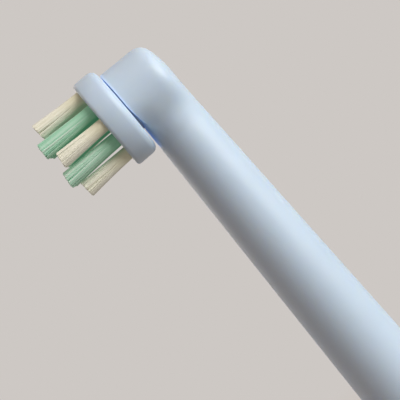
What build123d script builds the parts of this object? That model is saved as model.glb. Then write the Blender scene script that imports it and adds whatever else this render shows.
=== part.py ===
from build123d import *
import os
from math import cos, radians, sin, sqrt, tan

# Round oscillating brush head for an electric toothbrush, in millimetres.
# The neck stands on its base rim along +Z and the bristles point towards -Y.
# "Forward" is the distance from the neck axis towards the bristles.

# Neck
axis_height = 75.0
neck_axis_radius = 3.39
neck_taper = 0.0296
flare_height = 22.0
flare_share = 0.38
base_radius = 6.0
base_chamfer = 0.35

# Head of the neck, a cup that carries the brush disc
cup_radius = 5.0
cup_draft = 0.8
back_bulge = 0.04
back_sag = 0.45
dome_depth = 2.85
dome_reach = 1.55
dome_squareness = 2.15
shoulder_radius = 7.0
shoulder_drop = 5.8
shoulder_sections = 7
shoulder_spread = 1.5
shoulder_sink = 1.6
seam_step = 0.01

# Brush disc and its hub
disc_radius = 6.15
disc_thickness = 3.2
disc_gap = 0.16
disc_back_round = 0.9
disc_front_round = 0.4
round_step = 30
hub_radius = 3.2
hub_length = 4.7
hub_clearance = 0.25
brush_swing = 22.5

# Tufts, in rows across the disc, each folded over a metal anchor plate
row_counts = (3, 4, 5, 4, 3)
row_pitch = 2.1
tuft_pitch = 2.4
tuft_hole_radius = 0.85
tuft_hole_depth = 2.1
tuft_clearance = 0.02
tuft_tip_radius = 0.96
strands = 9
strand_groove = 0.12
white_length = 6.6
green_length = 7.6
anchor_thickness = 0.22
anchor_height = 0.8
fold_thickness = 0.35

# Axle pin of the disc and the stop pin that keeps the disc from pulling out
axle_radius = 0.8
axle_clearance = 0.04
axle_seat = 1.8
axle_reach = 0.5
axle_end_room = 0.2
pin_chamfer = 0.15
stop_radius = 0.45
stop_clearance = 0.12
stop_seat = 1.05
stop_forward = 0.3
groove_depth = 0.92

# Drive shaft with its crank
shaft_radius = 1.1
shaft_seat = 5.0
shaft_clearance = 0.05
crank_offset = 1.9
crank_drop = 2.1
crank_web_thickness = 0.9
crank_web_drop = 0.9
crank_end_radius = 0.5
crank_room = 0.25
finger_radius = 0.35
ball_radius = 0.55
ball_clearance = 0.1
slot_end_room = 0.15
bush_length = 6.0
bush_end_play = 0.2

# Base insert and drive coupling
socket_radius = 3.4
socket_depth = 12.0
insert_radius = 4.1
insert_length = 19.0
insert_web = 1.2
key_width = 1.2
key_depth = 0.35
coupling_radius = 2.75
coupling_length = 18.0
coupling_end_play = 0.3
coupling_room = 0.4
drive_bore_radius = 1.95
drive_bore_depth = 8.0
drive_flat_depth = 4.0
drive_seat_radius = 1.65
drive_flat = 1.2
drive_pass_room = 0.2

# Places that follow from the sizes above
rim_forward = neck_axis_radius + neck_taper * disc_radius
back_forward = -neck_axis_radius - back_bulge
disc_back = rim_forward + disc_gap
disc_front = disc_back + disc_thickness
hub_rear = disc_back - hub_length
cavity_radius = hub_radius + hub_clearance
cavity_floor = hub_rear - hub_clearance
axle_tip = disc_back + axle_reach
axle_rear = cavity_floor - axle_seat
groove_radius = hub_radius - groove_depth
stop_across = -(groove_radius + stop_clearance + stop_radius)
stop_half_length = sqrt(cavity_radius**2 - stop_across**2) + stop_seat
bore_radius = crank_offset + crank_end_radius + crank_room
web_top = axis_height - hub_radius - crank_web_drop
web_bottom = web_top - crank_web_thickness
ball_height = axis_height - crank_drop
coupling_bottom = socket_depth + insert_web + coupling_end_play
coupling_top = coupling_bottom + coupling_length
chamber_top = coupling_top + coupling_end_play
chamber_radius = coupling_radius + coupling_room
bush_top = web_bottom - bush_end_play
tuft_bottom = disc_front - tuft_hole_depth
anchor_bottom = tuft_bottom + fold_thickness
anchor_width = 2 * sqrt(tuft_hole_radius**2 - (anchor_thickness / 2) ** 2)

neck_top = axis_height - shoulder_drop - shoulder_sink / 2
# Turns from the front at which the neck's circle meets the points of the cup's outline
neck_turns = (0, 40, 70, 100, 125, 148, 180)
disc_axis = Axis((0, 0, axis_height), (0, -1, 0))


def forward_plane(forward):
    """Plane across the disc axis, facing the bristles, with its y up the neck."""
    return Plane(origin=(0, -forward, axis_height), x_dir=(1, 0, 0), z_dir=(0, -1, 0))


def neck_radius(height):
    return neck_axis_radius + neck_taper * (axis_height - height)


def shoulder_width(drop):
    """Half width of the head below the disc axis: round cup, hollow curve, then neck."""
    centre_across = neck_radius(axis_height - cup_radius) + shoulder_radius
    centre_drop = sqrt((cup_radius + shoulder_radius) ** 2 - centre_across**2)
    tangent_drop = centre_drop * cup_radius / (cup_radius + shoulder_radius)
    if drop <= tangent_drop:
        return sqrt(cup_radius**2 - drop**2)
    if drop >= centre_drop:
        return neck_radius(axis_height - drop)
    return centre_across - sqrt(shoulder_radius**2 - (centre_drop - drop) ** 2)


def head_outline(drop):
    """Half outline across the head: front, front corner, side, dome start, dome, dome end, back.

    Level with the disc axis it is the cup's section; it rounds into the neck's circle below.
    """
    side_rear = back_forward + dome_depth
    dome_start = cup_radius - (rim_forward - side_rear) * tan(radians(cup_draft))
    # Share of its depth and reach that the dome's squared-off ellipse keeps at its corner
    bulge = 0.5 ** (1 / dome_squareness)
    cup = [
        (0, rim_forward),
        (cup_radius, rim_forward),
        ((cup_radius + dome_start) / 2, (rim_forward + side_rear) / 2),
        (dome_start, side_rear),
        (dome_start - dome_reach * (1 - bulge), side_rear - (dome_depth - back_sag) * bulge),
        (dome_start - dome_reach, back_forward + back_sag),
        (0, back_forward),
    ]
    share = min(drop / shoulder_drop, 1)
    rounding = share**2 * (3 - 2 * share)
    sunk = seam_step if drop >= shoulder_drop else 0
    width = shoulder_width(drop) - sunk
    radius = neck_radius(axis_height - drop) - sunk
    outline = []
    for (across, forward), turn in zip(cup, neck_turns):
        across = width * (across / cup_radius * (1 - rounding) + sin(radians(turn)) * rounding)
        forward = forward * (1 - rounding) + radius * cos(radians(turn)) * rounding
        outline.append(Vector(across, -forward))
    return outline


def save(piece, name):
    piece.label = name
    export_step(piece, f"parts/{name}.step")


os.makedirs("parts", exist_ok=True)

# Tuft places: across the disc, up the disc, length and colour
tuft_places = []
for row, count in enumerate(row_counts):
    up = ((len(row_counts) - 1) / 2 - row) * row_pitch
    for place in range(count):
        across = (place - (count - 1) / 2) * tuft_pitch
        outer = place in (0, count - 1)
        green_row = row % 2 == 1
        white = not green_row and (outer or row in (0, len(row_counts) - 1))
        length = green_length if green_row else white_length
        tuft_places.append((across, up, length, "white" if white else "green"))
tuft_points = [(across, up) for across, up, length, colour in tuft_places]

# Shoulder: the lower half of the cup, rounding into the neck, with its sections closest at the cup
with BuildPart() as shoulder:
    for section in range(shoulder_sections + 1):
        share = (section / shoulder_sections) ** shoulder_spread
        drop = share * (shoulder_drop + shoulder_sink)
        right = head_outline(drop)
        left = [Vector(-point.X, point.Y) for point in right]
        with BuildSketch(Plane.XY.offset(axis_height - drop)):
            with BuildLine():
                if drop:
                    ThreePointArc(left[1], right[0], right[1])
                else:
                    Line(left[1], right[1])
                back_line = ThreePointArc(left[-2], right[-1], right[-2])
                for outline, inward in ((right, -(back_line % 1)), (left, back_line % 0)):
                    front, corner, side, dome_start, dome, dome_end, back = outline
                    if drop:
                        side_line = ThreePointArc(corner, side, dome_start)
                    else:
                        side_line = Line(corner, dome_start)
                    Spline(dome_start, dome, dome_end, tangents=(side_line % 1, inward))
            make_face()
    loft()

# Neck housing: tapered tube with a flared foot and a round cup at its head
with BuildPart() as neck_housing:
    with BuildSketch(Plane.XZ):
        with BuildLine():
            flare_radius = neck_radius(flare_height)
            middle_radius = flare_radius + flare_share * (base_radius - flare_radius)
            Polyline(
                (neck_radius(neck_top), neck_top),
                (flare_radius, flare_height),
                (middle_radius, flare_height / 2),
                (base_radius, base_chamfer),
                (base_radius - base_chamfer, 0),
                (0, 0),
                (0, neck_top),
                close=True,
            )
        make_face()
    revolve(axis=Axis.Z)
    add(shoulder.part)
    with BuildSketch(Plane.XY.offset(axis_height)):
        front, corner, side, dome_start, dome, dome_end, back = head_outline(0)
        with BuildLine():
            Line(corner, dome_start)
            back_line = TangentArc(back, dome_end, tangent=(1, 0))
            Spline(dome_start, dome, dome_end, tangents=(dome_start - side, -(back_line % 1)))
            Polyline(back, front, corner)
        make_face()
    revolve(axis=disc_axis, revolution_arc=180)
    with BuildSketch(forward_plane(cavity_floor)):
        Circle(cavity_radius)
    extrude(amount=rim_forward + base_radius, mode=Mode.SUBTRACT)
    with BuildSketch(Plane.XZ):
        with BuildLine():
            Polyline(
                (0, 0),
                (insert_radius, 0),
                (insert_radius, insert_length),
                (chamber_radius, insert_length),
                (chamber_radius, chamber_top),
                (bore_radius, chamber_top),
                (bore_radius, ball_height),
                (0, ball_height),
                close=True,
            )
        make_face()
    revolve(axis=Axis.Z, mode=Mode.SUBTRACT)
    with BuildSketch(forward_plane(axle_rear)):
        Circle(axle_radius)
    extrude(amount=axle_seat, mode=Mode.SUBTRACT)
    with BuildSketch(Plane.XY.offset(axis_height - stop_half_length)):
        with Locations((stop_across, -stop_forward)):
            Circle(stop_radius)
    extrude(amount=stop_half_length + cup_radius, mode=Mode.SUBTRACT)
save(neck_housing.part, "neck_housing")

# Bristle carrier: disc, hub, axle bore, crank slot, stop groove and tuft holes
with BuildPart() as bristle_carrier:
    with BuildSketch(Plane.XY.offset(axis_height)):
        profile = [(0, -hub_rear), (hub_radius, -hub_rear), (hub_radius, -disc_back)]
        for turn in range(0, 91, round_step):
            across = disc_radius - disc_back_round * (1 - sin(radians(turn)))
            profile.append((across, -disc_back - disc_back_round * (1 - cos(radians(turn)))))
        for turn in range(90, -1, -round_step):
            across = disc_radius - disc_front_round * (1 - sin(radians(turn)))
            profile.append((across, -disc_front + disc_front_round * (1 - cos(radians(turn)))))
        with BuildLine():
            Polyline(*profile, (0, -disc_front), close=True)
        make_face()
    revolve(axis=disc_axis)
    with BuildSketch(forward_plane(hub_rear)):
        Circle(axle_radius + axle_clearance)
    extrude(amount=axle_tip + axle_end_room - hub_rear, mode=Mode.SUBTRACT)
    with BuildSketch(forward_plane(stop_forward - stop_radius - stop_clearance)):
        Circle(hub_radius + hub_clearance)
        Circle(groove_radius, mode=Mode.SUBTRACT)
    extrude(amount=2 * (stop_radius + stop_clearance), mode=Mode.SUBTRACT)
    with BuildSketch(forward_plane(hub_rear)):
        slot_half = ball_radius + ball_clearance
        slot_top = -(crank_drop - ball_radius - slot_end_room)
        mouth_drop = hub_radius + hub_clearance
        mouth_half = slot_half + (mouth_drop - crank_drop) * tan(radians(brush_swing))
        with BuildLine():
            Polyline(
                (-slot_half, slot_top),
                (slot_half, slot_top),
                (slot_half, -crank_drop),
                (mouth_half, -mouth_drop),
                (-mouth_half, -mouth_drop),
                (-slot_half, -crank_drop),
                close=True,
            )
        make_face()
    extrude(amount=crank_offset + ball_radius + crank_room - hub_rear, mode=Mode.SUBTRACT)
    with BuildSketch(forward_plane(tuft_bottom)):
        with Locations(*tuft_points):
            Circle(tuft_hole_radius)
    extrude(amount=tuft_hole_depth, mode=Mode.SUBTRACT)
save(bristle_carrier.part, "bristle_carrier")

# Anchor plates, one wedged from wall to wall across each tuft hole
with BuildPart() as tuft_anchors:
    with BuildSketch(forward_plane(anchor_bottom)):
        with Locations(*tuft_points):
            Rectangle(anchor_width, anchor_thickness)
    extrude(amount=anchor_height)
save(tuft_anchors.part, "tuft_anchors")

# Tufts: bundles of strands that spread a little from the disc to their cut ends
tuft_numbers = {"white": 0, "green": 0}
for across, up, length, colour in tuft_places:
    with BuildPart() as tuft:
        root_radius = tuft_hole_radius - tuft_clearance
        sections = {tuft_bottom: root_radius, disc_front: root_radius, disc_front + length: tuft_tip_radius}
        for forward, radius in sections.items():
            corners = []
            for corner in range(2 * strands):
                reach = radius - strand_groove * (corner % 2)
                turn = radians(180 * corner / strands)
                corners.append((across + reach * sin(turn), up + reach * cos(turn)))
            with BuildSketch(forward_plane(forward)):
                with BuildLine():
                    Polyline(*corners, close=True)
                make_face()
        loft(ruled=True)
        with BuildSketch(forward_plane(anchor_bottom)):
            with Locations((across, up)):
                Rectangle(anchor_width, anchor_thickness)
        extrude(amount=anchor_height, mode=Mode.SUBTRACT)
    tuft_numbers[colour] += 1
    save(tuft.part, f"{colour}_tuft_{tuft_numbers[colour]}")

# Axle pin, pressed into the back wall of the cup
with BuildPart() as axle_pin:
    with BuildSketch(forward_plane(axle_rear)):
        Circle(axle_radius)
    extrude(amount=axle_tip - axle_rear)
    chamfer(axle_pin.edges().group_by(Axis.Y)[0], pin_chamfer)
save(axle_pin.part, "axle_pin")

# Stop pin, driven in from the tip beside the hub so that it lies in the hub's groove
with BuildPart() as stop_pin:
    with BuildSketch(Plane.XY.offset(axis_height - stop_half_length)):
        with Locations((stop_across, -stop_forward)):
            Circle(stop_radius)
    extrude(amount=2 * stop_half_length)
save(stop_pin.part, "stop_pin")

# Drive shaft: rod, crank web and ball-ended finger
with BuildPart() as drive_shaft:
    with BuildSketch(Plane.XY.offset(coupling_top - shaft_seat)):
        Circle(shaft_radius)
    extrude(amount=web_bottom - coupling_top + shaft_seat)
    with BuildSketch(Plane.XY.offset(web_bottom)):
        Circle(shaft_radius)
        with Locations((0, -crank_offset)):
            Circle(crank_end_radius)
        make_hull()
    extrude(amount=crank_web_thickness)
    with BuildSketch(Plane.XY.offset(web_top)):
        with Locations((0, -crank_offset)):
            Circle(finger_radius)
    extrude(amount=ball_height - web_top)
    with Locations((0, -crank_offset, ball_height)):
        Sphere(ball_radius)
save(drive_shaft.part, "drive_shaft")

# Guide bush of the shaft, pressed into the neck below the crank
with BuildPart() as guide_bush:
    with BuildSketch(Plane.XY.offset(bush_top - bush_length)):
        Circle(bore_radius)
        Circle(shaft_radius + shaft_clearance, mode=Mode.SUBTRACT)
    extrude(amount=bush_length)
save(guide_bush.part, "guide_bush")

# Drive coupling: takes the handle's flatted drive stub from below and the shaft from above
with BuildPart() as drive_coupling:
    with BuildSketch(Plane.XY.offset(coupling_bottom)):
        Circle(coupling_radius)
    extrude(amount=coupling_length)
    with BuildSketch(Plane.XY.offset(coupling_bottom)):
        Circle(drive_bore_radius)
    extrude(amount=drive_bore_depth, mode=Mode.SUBTRACT)
    with BuildSketch(Plane.XY.offset(coupling_bottom + drive_bore_depth)):
        Circle(drive_seat_radius)
        with Locations((0, drive_flat)):
            Rectangle(
                2 * drive_seat_radius,
                drive_seat_radius,
                align=(Align.CENTER, Align.MIN),
                mode=Mode.SUBTRACT,
            )
    extrude(amount=drive_flat_depth, mode=Mode.SUBTRACT)
    with BuildSketch(Plane.XY.offset(coupling_top - shaft_seat)):
        Circle(shaft_radius)
    extrude(amount=shaft_seat, mode=Mode.SUBTRACT)
save(drive_coupling.part, "drive_coupling")

# Base insert: keyed socket for the handle's collar, with the coupling's bearing above it
with BuildPart() as base_insert:
    with BuildSketch(Plane.XY):
        Circle(insert_radius)
    extrude(amount=insert_length)
    with BuildSketch(Plane.XY):
        Circle(socket_radius)
        with PolarLocations(socket_radius, 2):
            Rectangle(2 * key_depth, key_width)
    extrude(amount=socket_depth, mode=Mode.SUBTRACT)
    with BuildSketch(Plane.XY.offset(socket_depth)):
        Circle(drive_bore_radius + drive_pass_room)
    extrude(amount=insert_web, mode=Mode.SUBTRACT)
    with BuildSketch(Plane.XY.offset(socket_depth + insert_web)):
        Circle(coupling_radius + shaft_clearance)
    extrude(amount=insert_length - socket_depth - insert_web, mode=Mode.SUBTRACT)
save(base_insert.part, "base_insert")
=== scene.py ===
import math
import random

import bmesh
import bpy
from mathutils import Matrix, Vector


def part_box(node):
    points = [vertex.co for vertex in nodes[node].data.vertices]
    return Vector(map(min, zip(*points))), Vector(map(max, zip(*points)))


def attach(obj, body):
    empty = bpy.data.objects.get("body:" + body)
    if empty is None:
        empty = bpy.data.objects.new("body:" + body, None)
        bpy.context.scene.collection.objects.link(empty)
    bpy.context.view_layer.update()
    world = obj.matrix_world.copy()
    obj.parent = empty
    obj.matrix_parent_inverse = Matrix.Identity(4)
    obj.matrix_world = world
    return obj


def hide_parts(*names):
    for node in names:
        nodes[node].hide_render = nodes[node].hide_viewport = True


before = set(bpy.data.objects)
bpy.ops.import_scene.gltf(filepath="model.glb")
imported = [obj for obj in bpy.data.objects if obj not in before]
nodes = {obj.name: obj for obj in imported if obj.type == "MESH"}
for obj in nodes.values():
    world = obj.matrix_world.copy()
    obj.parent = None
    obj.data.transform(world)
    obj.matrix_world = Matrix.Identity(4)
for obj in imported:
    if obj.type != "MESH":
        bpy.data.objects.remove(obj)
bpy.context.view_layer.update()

scene = bpy.context.scene
scene.view_settings.view_transform = "Standard"

MM = 0.001

# Bristle filaments, drawn a little thicker than the real 0.15 mm across, and their tufts
filament_radius = 0.085 * MM
filament_sides = 6
filament_rings = (1, 6, 12, 17, 22, 28)
filament_steps = 4
root_depth = 0.85 * MM
root_radius = 0.75 * MM
tip_radius = 0.94 * MM
tip_swell = 1.14
tip_round = 0.08 * MM
tip_narrowing = 0.55
tip_scatter = 0.07 * MM
tip_slope = 0.12
tip_stray = 0.03
bend = 1.4
clumps_per_tuft = 6
clump_pull = 0.5
stray_share = 0.012
stray_reach = 1.3
tuft_splay = 0.035
bundle_shading = 0.5
tone_middle = 0.55
tone_spread = 0.3
# How far the painted shade at the roots reaches from the disc
painted_root_shade_reach = 3.2 * MM
# Strength of a painted glow in the strands, which lifts the shade between them
painted_strand_glow = 0.07

# Gap between the disc and the cup, and how far the painted blue glow along it reaches
disc_thickness = 3.2 * MM
disc_gap = 0.16 * MM
painted_glow_reach = 0.35 * MM
painted_glow_foot_reach = 0.2 * MM
painted_gap_glow_colour = "#4a5c86"

# Joining of the moulded pieces' triangles
weld_distance = 0.015 * MM
crease_angle = math.radians(34)
head_seam = 68.4 * MM
seam_radius = 3.3 * MM
neck_slope = 0.03

# Patterns of the finishes. Spark texture and draw lines are really some hundredths of a millimetre
# wide, too fine to show, so they are drawn coarser
flow_mottle = 9 * MM
spark_texture = 0.35 * MM
spark_depth = 0.01 * MM
spark_roughness = 0.05
draw_lines = 0.12 * MM
line_roughness = 0.08

# Studio
floor_radius = 3.0
card_reach = 0.03
card_fade = 0.1
lamp_distance = 0.5
lamp_aim = Vector((0, 0, 55 * MM))

# Photograph's view
camera_azimuth = 88.6
camera_elevation = 4.1
camera_roll = 40.3
camera_distance = 120.0 * MM
camera_target = Vector((0.0, -4.0 * MM, 60.86 * MM))
frame_width = 48.5 * MM
sensor_width = 36.0


def linear(hex_colour):
    """sRGB hex to a linear colour with full alpha."""
    channels = [int(hex_colour[i : i + 2], 16) / 255 for i in (1, 3, 5)]
    channels = [c / 12.92 if c <= 0.04045 else ((c + 0.055) / 1.055) ** 2.4 for c in channels]
    return (*channels, 1.0)


def add_node(tree, kind, inputs=None, **settings):
    """Adds a node; inputs maps a socket to a value or to another node's output socket."""
    node = tree.nodes.new(kind)
    for name, value in settings.items():
        setattr(node, name, value)
    for socket, value in (inputs or {}).items():
        if isinstance(value, bpy.types.NodeSocket):
            tree.links.new(value, node.inputs[socket])
        else:
            node.inputs[socket].default_value = value
    return node


def new_material(name):
    material = bpy.data.materials.new(name)
    material.use_nodes = True
    material.node_tree.nodes.clear()
    return material, material.node_tree


def moulded_plastic(name, light, deep, roughness, gap=None):
    """Injection-moulded plastic: a soft satin shine, faint flow mottle and a fine spark texture.

    By a gap, given as the Y with all of the glow, the Y with none, the Z with none and the Z with
    all of it, the plastic emits a painted blue glow, which stands in for light coming out of the milky
    plastic there.
    """
    material, tree = new_material(name)
    place = add_node(tree, "ShaderNodeTexCoord").outputs["Object"]
    mottle = add_node(
        tree,
        "ShaderNodeTexNoise",
        {"Vector": place, "Scale": 1 / flow_mottle, "Detail": 3.0, "Roughness": 0.55},
    )
    tone = add_node(tree, "ShaderNodeValToRGB", {"Fac": mottle.outputs["Fac"]})
    tone.color_ramp.elements[0].position = 0.3
    tone.color_ramp.elements[0].color = linear(deep)
    tone.color_ramp.elements[1].position = 0.7
    tone.color_ramp.elements[1].color = linear(light)
    spark = add_node(
        tree,
        "ShaderNodeTexNoise",
        {"Vector": place, "Scale": 1 / spark_texture, "Detail": 2.0, "Roughness": 0.6},
    )
    rough = add_node(
        tree,
        "ShaderNodeMapRange",
        {
            "Value": spark.outputs["Fac"],
            "From Min": 0.3,
            "From Max": 0.7,
            "To Min": roughness - spark_roughness,
            "To Max": roughness + spark_roughness,
        },
    )
    bump = add_node(
        tree,
        "ShaderNodeBump",
        {"Height": spark.outputs["Fac"], "Strength": 0.1, "Distance": spark_depth},
    )
    shader = add_node(
        tree,
        "ShaderNodeBsdfPrincipled",
        {
            "Base Color": tone.outputs["Color"],
            "Roughness": rough.outputs["Result"],
            "Normal": bump.outputs["Normal"],
            "IOR": 1.5,
            "Subsurface Weight": 0.35,
            "Subsurface Radius": (0.6, 0.8, 1.2),
            "Subsurface Scale": 0.8 * MM,
            "Emission Color": linear(painted_gap_glow_colour),
        },
    )
    # Painted light: the faces by the gap glow blue, at the strength of the two masks
    if gap:
        y_all, y_none, z_none, z_all = gap
        split = add_node(tree, "ShaderNodeSeparateXYZ", {"Vector": place})
        near = add_node(
            tree,
            "ShaderNodeMapRange",
            {"Value": split.outputs["Y"], "From Min": y_none, "From Max": y_all},
        )
        above = add_node(
            tree,
            "ShaderNodeMapRange",
            {"Value": split.outputs["Z"], "From Min": z_none, "From Max": z_all},
        )
        glow = add_node(
            tree,
            "ShaderNodeMath",
            {0: near.outputs["Result"], 1: above.outputs["Result"]},
            operation="MULTIPLY",
        )
        tree.links.new(glow.outputs[0], shader.inputs["Emission Strength"])
    add_node(tree, "ShaderNodeOutputMaterial", {"Surface": shader.outputs["BSDF"]})
    return material


def nylon_filament(name, pale, deep, root, painted_glow_tint):
    """Drawn nylon bristle: silky, each strand a shade of its own, with painted shade at the root: darker
    and fuller in colour there.

    A weak painted glow in a tint of the strand's colour lifts the shadows in a bundle, in place of light
    that runs along inside the half clear strands.
    """
    material, tree = new_material(name)
    strand = add_node(tree, "ShaderNodeAttribute", attribute_name="strand_tone")
    tone = add_node(
        tree,
        "ShaderNodeMix",
        {0: strand.outputs["Fac"], 6: linear(deep), 7: linear(pale)},
        data_type="RGBA",
    )
    # Painted shade: the root colour, darker and fuller, runs into the strand's own tone over a short
    # reach from the disc's front
    place = add_node(tree, "ShaderNodeTexCoord").outputs["Object"]
    split = add_node(tree, "ShaderNodeSeparateXYZ", {"Vector": place})
    along = add_node(
        tree,
        "ShaderNodeMapRange",
        {"Value": split.outputs["Y"], "From Min": disc_front, "From Max": disc_front - painted_root_shade_reach},
    )
    tone = add_node(
        tree,
        "ShaderNodeMix",
        {0: along.outputs["Result"], 6: linear(root), 7: tone.outputs[2]},
        data_type="RGBA",
    )
    shader = add_node(
        tree,
        "ShaderNodeBsdfPrincipled",
        {
            "Base Color": tone.outputs[2],
            "Roughness": 0.5,
            "IOR": 1.53,
            # Painted glow in a tint of the strand's colour, which lifts the shadows in the bundle
            "Emission Color": linear(painted_glow_tint),
            "Emission Strength": painted_strand_glow,
        },
    )
    add_node(tree, "ShaderNodeOutputMaterial", {"Surface": shader.outputs["BSDF"]})
    return material


def drawn_metal(name, bright, dull, roughness):
    """Drawn or rolled metal: bright, with fine draw lines that break up the shine."""
    material, tree = new_material(name)
    place = add_node(tree, "ShaderNodeTexCoord").outputs["Object"]
    lines = add_node(
        tree,
        "ShaderNodeTexNoise",
        {"Vector": place, "Scale": 1 / draw_lines, "Detail": 2.0, "Roughness": 0.5},
    )
    tone = add_node(
        tree,
        "ShaderNodeMix",
        {0: lines.outputs["Fac"], 6: linear(dull), 7: linear(bright)},
        data_type="RGBA",
    )
    rough = add_node(
        tree,
        "ShaderNodeMapRange",
        {
            "Value": lines.outputs["Fac"],
            "To Min": roughness - line_roughness,
            "To Max": roughness + line_roughness,
        },
    )
    shader = add_node(
        tree,
        "ShaderNodeBsdfPrincipled",
        {"Base Color": tone.outputs[2], "Metallic": 1.0, "Roughness": rough.outputs["Result"]},
    )
    add_node(tree, "ShaderNodeOutputMaterial", {"Surface": shader.outputs["BSDF"]})
    return material


disc_low, disc_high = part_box("bristle_carrier")
disc_front = disc_low.y
disc_height = (disc_low.z + disc_high.z) / 2
disc_radius = (disc_high.x - disc_low.x) / 2
disc_foot = disc_height - disc_radius
cup_rim = disc_front + disc_thickness + disc_gap
# Painted glow on the neck: full at the cup's rim by the disc's back, fading out over a short reach behind
# it and just below the disc's foot
neck_painted_gap_glow = (cup_rim, cup_rim + painted_glow_reach, disc_foot - painted_glow_foot_reach, disc_foot)

# ABS of the outer mouldings: pale, milky blue with a satin skin
# The neck's plastic also carries the painted blue glow along the gap by the disc
neck_abs = moulded_plastic("pale_blue_moulded_abs", "#c7dbed", "#c2d7ea", 0.42, neck_painted_gap_glow)
disc_abs = moulded_plastic("pale_blue_moulded_disc_abs", "#c6daed", "#c1d6e9", 0.4)
# Acetal of the bearings: off-white and a little waxy
bearing_acetal = moulded_plastic("white_moulded_acetal", "#e9eae6", "#e0e1dc", 0.4)
# Nylon of the bristles: cream in the outer rows, mint green between them
# The last colour of each nylon is the tint of its painted glow; the white's is a little green, like light
# from the green tufts beside it
# The second last colour of each nylon is painted shade for the roots
white_nylon = nylon_filament(
    "cream_white_nylon_filament", "#f3f4e8", "#e6e6d4", "#d6d3b6", "#dde6cc"
)
green_nylon = nylon_filament(
    "mint_green_nylon_filament", "#d2eadd", "#8fcaac", "#93cdae", "#8adcb4"
)
# Steel of the pins and the shaft: bright and cool; brass of the tuft anchors: warm and duller
steel = drawn_metal("drawn_stainless_steel", "#d5d7d8", "#b4b7ba", 0.28)
brass = drawn_metal("rolled_brass_strip", "#d9bf74", "#b89a52", 0.32)

node_materials = {
    "neck_housing": neck_abs,
    "bristle_carrier": disc_abs,
    "base_insert": bearing_acetal,
    "drive_coupling": bearing_acetal,
    "guide_bush": bearing_acetal,
    "axle_pin": steel,
    "stop_pin": steel,
    "drive_shaft": steel,
    "tuft_anchors": brass,
}
for name, material in node_materials.items():
    nodes[name].data.materials.clear()
    nodes[name].data.materials.append(material)


def smooth_moulding(node_name, body, seam_height=None):
    """A moulding with its triangles joined, so that light runs over its curves without seams."""
    mesh = bmesh.new()
    mesh.from_mesh(nodes[node_name].data)
    bmesh.ops.remove_doubles(mesh, verts=mesh.verts[:], dist=weld_distance)
    for face in mesh.faces:
        face.smooth = True
    for edge in mesh.edges:
        edge.smooth = edge.calc_face_angle(math.pi) < crease_angle
    data = bpy.data.meshes.new(node_name + "_smooth")
    mesh.to_mesh(data)
    mesh.free()
    # The file's own normals are false at the dome's pole, where they show as a dark dot
    data.attributes.remove(data.attributes["custom_normal"])
    if seam_height:
        # Both sides of the seam get the neck's own direction, so that no line shows across it
        normals = [corner.vector.copy() for corner in data.corner_normals]
        for loop in data.loops:
            place = data.vertices[loop.vertex_index].co
            outward = Vector((place.x, place.y, 0))
            if abs(place.z - seam_height) < weld_distance and outward.length > seam_radius:
                normals[loop.index] = (outward.normalized() + Vector((0, 0, neck_slope))).normalized()
        data.normals_split_custom_set(normals)
    data.materials.append(node_materials[node_name])
    piece = bpy.data.objects.new(node_name + "_smooth", data)
    scene.collection.objects.link(piece)
    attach(piece, body)
    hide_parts(node_name)


smooth_moulding("neck_housing", "housing", head_seam)
smooth_moulding("bristle_carrier", "brush")


def ring_places(counts):
    """Even places in a unit circle, ring after ring from the middle, as reach and turn."""
    places = []
    for ring, count in enumerate(counts):
        for place in range(count):
            places.append((ring / (len(counts) - 1), (place + ring / 2) / count * math.tau))
    return places


def straight_strand():
    """One strand with a ring of points at each whole step along -Y, closed at both ends."""
    mesh = bmesh.new()
    turned = Matrix.Rotation(math.radians(90), 4, "X")
    bmesh.ops.create_circle(mesh, cap_ends=True, segments=filament_sides, radius=1.0, matrix=turned)
    edges = mesh.edges[:]
    for _ in range(filament_steps + 2):
        grown = bmesh.ops.extrude_edge_only(mesh, edges=edges)["geom"]
        edges = [item for item in grown if isinstance(item, bmesh.types.BMEdge)]
        ring = [item for item in grown if isinstance(item, bmesh.types.BMVert)]
        bmesh.ops.translate(mesh, verts=ring, vec=(0, -1, 0))
    bmesh.ops.edgeloop_fill(mesh, edges=edges)
    bmesh.ops.recalc_face_normals(mesh, faces=mesh.faces[:])
    for face in mesh.faces:
        face.smooth = True
    data = bpy.data.meshes.new("strand")
    mesh.to_mesh(data)
    mesh.free()
    return data


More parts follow.
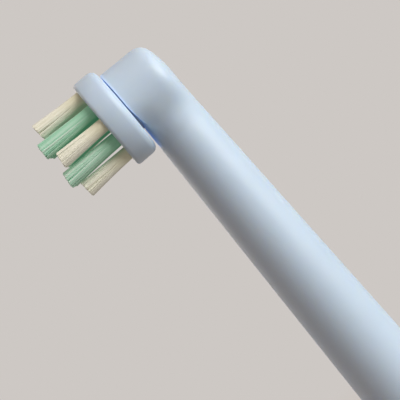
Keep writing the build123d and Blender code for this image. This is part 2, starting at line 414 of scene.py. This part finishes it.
def bristle_tuft(node_name, strand, material, seed):
    """A bundle of separate filaments in place of the tuft's plain solid."""
    dice = random.Random(seed)
    low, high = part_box(node_name)
    centre = Vector(((low.x + high.x) / 2, disc_front, (low.z + high.z) / 2))
    length = disc_front - low.y
    lean = Vector((centre.x, 0, centre.z - disc_height)) / disc_radius * tuft_splay * length
    slope = dice.uniform(-tip_slope, tip_slope)
    clumps = [(i + dice.random() / 2) / clumps_per_tuft * math.tau for i in range(clumps_per_tuft)]
    mesh = bmesh.new()
    tones = []
    normals = []
    for reach, turn in ring_places(filament_rings):
        pulls = [math.remainder(clump - turn, math.tau) for clump in clumps]
        tip_turn = turn + min(pulls, key=abs) * clump_pull * dice.random()
        tip_reach = reach * (stray_reach if dice.random() < stray_share else 1)
        tip_reach += dice.gauss(0, tip_stray)
        outward = Vector((math.cos(turn), 0, math.sin(turn))) * reach
        root = centre + outward * root_radius
        tip_outward = Vector((math.cos(tip_turn), 0, math.sin(tip_turn)))
        tip = centre + tip_outward * tip_reach * tip_radius + lean
        # The slant of the cut is taken off the length, so that no tip passes the solid's end
        short = abs(dice.gauss(0, tip_scatter)) + (abs(slope) + slope * outward.z) * tip_radius
        tip.y -= length - tip_round - short
        path = [(root + Vector((0, root_depth, 0)), 1.0)]
        for step in range(filament_steps + 1):
            share = step / filament_steps
            bent = root.lerp(tip, share**bend)
            bent.y = root.y + (tip.y - root.y) * share
            # Drawn a little coarser towards the tip, so that the bundle stays closed where it opens out
            path.append((bent, 1 + (tip_swell - 1) * share))
        path.append((tip - Vector((0, tip_round, 0)), tip_narrowing))
        tone = min(max(dice.gauss(tone_middle, tone_spread), 0), 1)
        start = len(mesh.verts)
        mesh.from_mesh(strand)
        mesh.verts.ensure_lookup_table()
        for vert in mesh.verts[start:]:
            place, size = path[round(-vert.co.y)]
            vert.co = place + Vector((vert.co.x, 0, vert.co.z)) * filament_radius * size
            tones.append(tone)
            # Light runs over the bundle as a whole, as it does where strands let it through to each other
            normals.append(vert.normal.lerp(outward, bundle_shading).normalized())
    data = bpy.data.meshes.new(node_name + "_filaments")
    mesh.to_mesh(data)
    mesh.free()
    data.attributes.new("strand_tone", "FLOAT", "POINT").data.foreach_set("value", tones)
    data.normals_split_custom_set_from_vertices(normals)
    data.materials.append(material)
    piece = bpy.data.objects.new(node_name + "_filaments", data)
    scene.collection.objects.link(piece)
    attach(piece, "brush")
    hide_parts(node_name)


strand = straight_strand()
for seed, name in enumerate(sorted(n for n in nodes if "_tuft_" in n)):
    if name.startswith("white"):
        bristle_tuft(name, strand, white_nylon, seed)
    else:
        bristle_tuft(name, strand, green_nylon, seed)
bpy.data.meshes.remove(strand)


def seen_rays(tree):
    """1 for the rays that show a surface to the eye: straight, mirrored or through something clear."""
    rays = add_node(tree, "ShaderNodeLightPath").outputs
    seen = add_node(
        tree,
        "ShaderNodeMath",
        {0: rays["Is Camera Ray"], 1: rays["Is Glossy Ray"]},
        operation="MAXIMUM",
    )
    seen = add_node(
        tree,
        "ShaderNodeMath",
        {0: seen.outputs[0], 1: rays["Is Transmission Ray"]},
        operation="MAXIMUM",
    )
    return seen.outputs[0]


# Floor: pale matt card that fades into the backdrop away from the part, and throws less light
# back up at the part than it shows
floor_mesh = bmesh.new()
bmesh.ops.create_circle(floor_mesh, cap_ends=True, segments=96, radius=floor_radius)
floor_data = bpy.data.meshes.new("floor")
floor_mesh.to_mesh(floor_data)
floor_mesh.free()
floor = bpy.data.objects.new("floor", floor_data)
scene.collection.objects.link(floor)
backdrop_colour = linear("#cdc8c4")
card_colour = linear("#f2ede9")
card_bounce = linear("#a29e9a")
card, tree = new_material("pale_matt_card")
place = add_node(tree, "ShaderNodeTexCoord").outputs["Object"]
distance = add_node(tree, "ShaderNodeVectorMath", {0: place}, operation="LENGTH")
fade = add_node(
    tree,
    "ShaderNodeMapRange",
    {"Value": distance.outputs["Value"], "From Min": card_reach, "From Max": card_fade},
)
seen = seen_rays(tree)
share = add_node(tree, "ShaderNodeMath", {0: seen, 1: fade.outputs["Result"]}, operation="MULTIPLY")
shade = add_node(tree, "ShaderNodeMix", {0: seen, 6: card_bounce, 7: card_colour}, data_type="RGBA")
matt = add_node(tree, "ShaderNodeBsdfDiffuse", {"Color": shade.outputs[2]})
glow = add_node(tree, "ShaderNodeEmission", {"Color": backdrop_colour, "Strength": 1.0})
mixed = add_node(
    tree,
    "ShaderNodeMixShader",
    {"Fac": share.outputs[0], 1: matt.outputs["BSDF"], 2: glow.outputs["Emission"]},
)
add_node(tree, "ShaderNodeOutputMaterial", {"Surface": mixed.outputs["Shader"]})
floor_data.materials.append(card)

# World: the backdrop as it is seen, and a dim warm fill as light
world = bpy.data.worlds.new("studio")
scene.world = world
world.use_nodes = True
tree = world.node_tree
tree.nodes.clear()
fill = add_node(tree, "ShaderNodeBackground", {"Color": linear("#ffd6c4"), "Strength": 0.14})
backdrop = add_node(tree, "ShaderNodeBackground", {"Color": backdrop_colour, "Strength": 1.0})
mixed = add_node(
    tree,
    "ShaderNodeMixShader",
    {"Fac": seen_rays(tree), 1: fill.outputs["Background"], 2: backdrop.outputs["Background"]},
)
add_node(tree, "ShaderNodeOutputWorld", {"Surface": mixed.outputs["Shader"]})


def soft_box(name, direction, size, power, hex_colour):
    """A square soft light that faces the upper part of the neck."""
    light = bpy.data.lights.new(name, "AREA")
    light.shape = "SQUARE"
    light.size = size
    light.energy = power
    light.color = linear(hex_colour)[:3]
    lamp = bpy.data.objects.new(name, light)
    scene.collection.objects.link(lamp)
    towards = Vector(direction).normalized()
    lamp.location = lamp_aim + towards * lamp_distance
    lamp.rotation_euler = towards.to_track_quat("Z", "Y").to_euler()
    lamp.visible_camera = False


soft_box("key", (0.51, 0.81, 0.35), 0.42, 3.05, "#fffdfa")
soft_box("fill", (0.3, -0.6, 0.75), 0.5, 0.58, "#ffeadd")
soft_box("side", (-0.8, -0.55, 0.2), 0.5, 0.65, "#fff6f0")

# Camera at the photograph's angle, rolled as the part leans in the picture
azimuth, elevation = math.radians(camera_azimuth), math.radians(camera_elevation)
back = Vector(
    (
        math.sin(azimuth) * math.cos(elevation),
        -math.cos(azimuth) * math.cos(elevation),
        math.sin(elevation),
    )
)
camera_data = bpy.data.cameras.new("camera")
camera_data.sensor_width = sensor_width
camera_data.sensor_fit = "HORIZONTAL"
camera_data.lens = sensor_width * camera_distance / frame_width
camera_data.clip_start = 0.005
camera_data.clip_end = 20.0
camera = bpy.data.objects.new("camera", camera_data)
scene.collection.objects.link(camera)
camera.location = camera_target + back * camera_distance
level = back.to_track_quat("Z", "Y")
camera.rotation_mode = "QUATERNION"
camera.rotation_quaternion = level @ Matrix.Rotation(math.radians(-camera_roll), 3, "Z").to_quaternion()
scene.camera = camera
